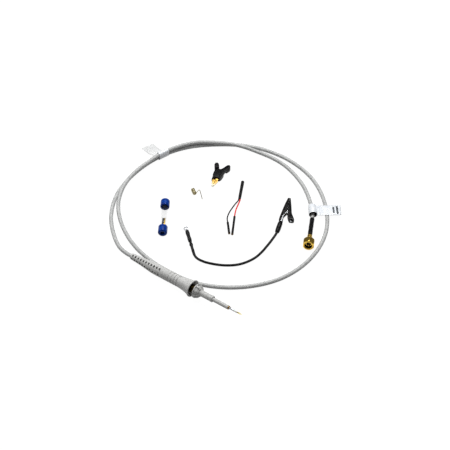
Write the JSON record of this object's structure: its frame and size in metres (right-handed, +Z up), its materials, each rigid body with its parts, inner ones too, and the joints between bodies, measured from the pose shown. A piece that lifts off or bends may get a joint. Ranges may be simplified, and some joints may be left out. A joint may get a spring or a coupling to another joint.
{
  "type": "oscilloscope probe",
  "caption": "Slim passive oscilloscope probe with a looped thin cable, a gold screw-on coaxial connector, and loose ground lead, Y lead, ground spring, mini clip and tip vial.",
  "frame": {"origin": "on the table, under the middle of the probe, the tip vial, the ground spring and the mini clip", "axes": "+X along the probe towards its tip, +Y from the probe towards the accessories and the far cable loop, +Z up"},
  "size_m": [0.1776, 0.1643, 0.0128],
  "materials": {
    "handle_plastic": "moulded light grey, fine satin grain",
    "boot_rubber": "light grey flexible boot, satin",
    "cable_jacket": "smooth light grey jacket",
    "silver_metal": "tinned or plated steel",
    "spring_wire": "bright drawn spring wire",
    "ring_plate": "bright tin plate",
    "brass_plate": "gold plated brass",
    "chrome_plate": "polished nickel plate",
    "white_insulator": "white fluoropolymer",
    "copper_wire": "bare copper",
    "board": "green solder mask",
    "resistor": "lacquered blue body",
    "chips": "fired ceramic",
    "trimmer": "orange ceramic trimmer",
    "black_shrink": "black heat shrink",
    "black_plastic": "glossy black moulding",
    "black_jacket": "black wire insulation",
    "red_jacket": "red wire insulation",
    "black_rubber": "black seal",
    "label_film": "glossy white label film",
    "clear_tube": "clear extruded tube",
    "blue_cap": "glossy deep blue cap",
    "gold_tip": "gold plated needle"
  },
  "bodies": {
    "root": {"cable_boot": "boot_rubber", "handle_shell": "handle_plastic", "probe_cable": "cable_jacket", "cable_braid": "silver_metal", "crimp_sleeve": "brass_plate", "cable_dielectric": "white_insulator", "cable_core": "copper_wire", "circuit_board": "board", "tip_resistor": "resistor", "chip_components": "chips", "trimmer_capacitor": "trimmer", "front_housing": "brass_plate", "nose_cone": "handle_plastic", "front_sleeve": "handle_plastic", "ground_barrel": "brass_plate", "contact_tube": "chrome_plate", "tip_insulator": "white_insulator", "barrel_dielectric": "white_insulator", "center_conductor": "copper_wire", "tip_socket": "brass_plate", "tip_spring": "silver_metal", "connector_body": "brass_plate", "connector_insulator": "black_plastic", "center_pin": "brass_plate", "snap_ring": "silver_metal", "connector_ferrule": "brass_plate", "connector_shrink": "black_shrink", "probe_end_label": "label_film", "connector_end_label": "label_film"},
    "sprung_tip": {"tip_plunger": "brass_plate"},
    "coupling_nut": {"coupling_nut": "brass_plate"},
    "vial": {"vial_tube": "clear_tube", "black_spare_tip": "black_plastic", "gold_spare_tip": "gold_tip"},
    "upper_cap": {"upper_vial_cap": "blue_cap", "upper_cap_seal": "black_rubber"},
    "lower_cap": {"lower_vial_cap": "blue_cap", "lower_cap_seal": "black_rubber"},
    "ground_spring": {"ground_spring": "spring_wire"},
    "mini_clip": {"mini_clip_left": "black_plastic", "mini_jaw_left": "brass_plate", "mini_clip_pin": "silver_metal", "mini_clip_spring": "silver_metal"},
    "mini_clip_arm": {"mini_clip_right": "black_plastic", "mini_jaw_right": "brass_plate"},
    "y_lead": {"lead_adapter_sleeve": "black_shrink", "lead_socket": "brass_plate", "black_wire": "black_jacket", "red_wire": "red_jacket", "wire_end_sleeves": "black_shrink", "pin_sockets": "brass_plate"},
    "ground_lead": {"ring_terminal": "ring_plate", "ground_lead_sleeves": "black_shrink", "ground_wire": "black_jacket", "clip_fixed_jaw": "silver_metal", "clip_fixed_boot": "black_plastic", "clip_pivot_pin": "silver_metal", "clip_spring": "silver_metal"},
    "ground_clip_arm": {"clip_moving_jaw": "silver_metal", "clip_moving_boot": "black_plastic"}
  },
  "joints": [
    {"name": "needle_travel", "type": "slide", "parent": "root", "child": "sprung_tip", "axis": [-0.9978, 0, -0.0666], "range_m": [0, 0.0009], "stiffness_N_per_m": 300, "springref_m": -0.0005, "deforming": ["tip_spring"]},
    {"name": "coupling_nut_spin", "type": "hinge", "parent": "root", "child": "coupling_nut", "pos_m": [0.05461, 0.03087, 0.00427], "axis": [0.4829, -0.8712, 0.0878], "continuous": true},
    {"name": "vial_lift", "type": "slide", "parent": "root", "child": "vial", "axis": [0, 0, 1], "range_m": [0, 0.03]},
    {"name": "upper_cap_pull", "type": "slide", "parent": "vial", "child": "upper_cap", "axis": [-0.5934, 0.8049, 0], "range_m": [0, 0.012]},
    {"name": "lower_cap_pull", "type": "slide", "parent": "vial", "child": "lower_cap", "axis": [0.5934, -0.8049, 0], "range_m": [0, 0.012]},
    {"name": "ground_spring_lift", "type": "slide", "parent": "root", "child": "ground_spring", "axis": [0, 0, 1], "range_m": [0, 0.03]},
    {"name": "mini_clip_lift", "type": "slide", "parent": "root", "child": "mini_clip", "axis": [0, 0, 1], "range_m": [0, 0.03]},
    {"name": "mini_clip_squeeze", "type": "hinge", "parent": "mini_clip", "child": "mini_clip_arm", "pos_m": [-0.04455, 0.04995, 0.0022], "axis": [0, 0, 1], "range_deg": [0, 18], "stiffness_Nm_per_rad": 0.05, "springref_deg": -5.73},
    {"name": "y_lead_lift", "type": "slide", "parent": "root", "child": "y_lead", "axis": [0, 0, 1], "range_m": [0, 0.03]},
    {"name": "ground_lead_lift", "type": "slide", "parent": "root", "child": "ground_lead", "axis": [0, 0, 1], "range_m": [0, 0.03]},
    {"name": "ground_clip_squeeze", "type": "hinge", "parent": "ground_lead", "child": "ground_clip_arm", "pos_m": [0.02252, 0.04946, 0.0023], "axis": [0, 0, 1], "range_deg": [-20, 0], "stiffness_Nm_per_rad": 0.1, "springref_deg": 5.73}
  ]
}
